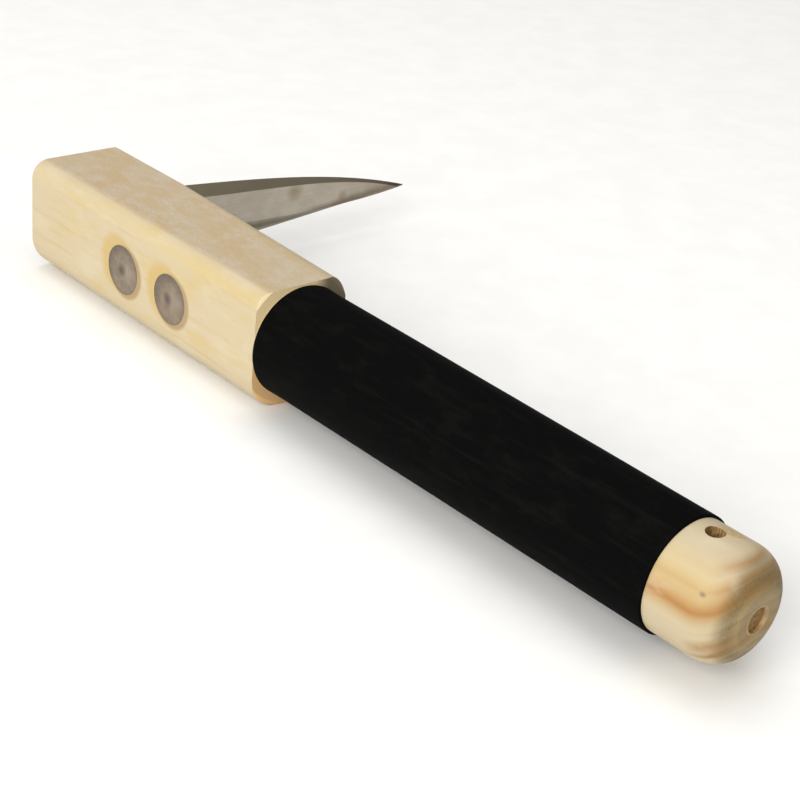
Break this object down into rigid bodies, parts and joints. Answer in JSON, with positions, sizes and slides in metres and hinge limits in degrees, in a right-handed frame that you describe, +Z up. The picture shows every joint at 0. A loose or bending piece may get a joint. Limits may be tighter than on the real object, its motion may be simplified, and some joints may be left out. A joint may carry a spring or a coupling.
{
  "type": "one-hand pick tool",
  "caption": "One-hand wooden tool with a rubber-sleeved round grip, a square head and a pointed, bevelled steel blade bolted on at right angles.",
  "frame": {"origin": "on the head's flat underside, below the handle's axis and half way along the head", "axes": "+Y runs along the handle from the butt to the head, +X is the side the blade leaves from, +Z is up"},
  "size_m": [0.1458, 0.2957, 0.0385],
  "materials": {
    "wood": "bare sanded softwood",
    "rubber": "matte",
    "blade_steel": "satin ground",
    "fastener_steel": "zinc plated",
    "resin": "satin"
  },
  "bodies": {
    "root": {"blade": "blade_steel", "blade_bolt_front": "fastener_steel", "blade_bolt_rear": "fastener_steel", "filler_plug_front": "resin", "filler_plug_rear": "resin", "grip_sleeve": "rubber", "handle": "wood", "head_washer_front": "fastener_steel", "head_washer_rear": "fastener_steel", "tang_nut_front": "fastener_steel", "tang_nut_rear": "fastener_steel", "tang_washer_front": "fastener_steel", "tang_washer_rear": "fastener_steel"}
  },
  "joints": []
}
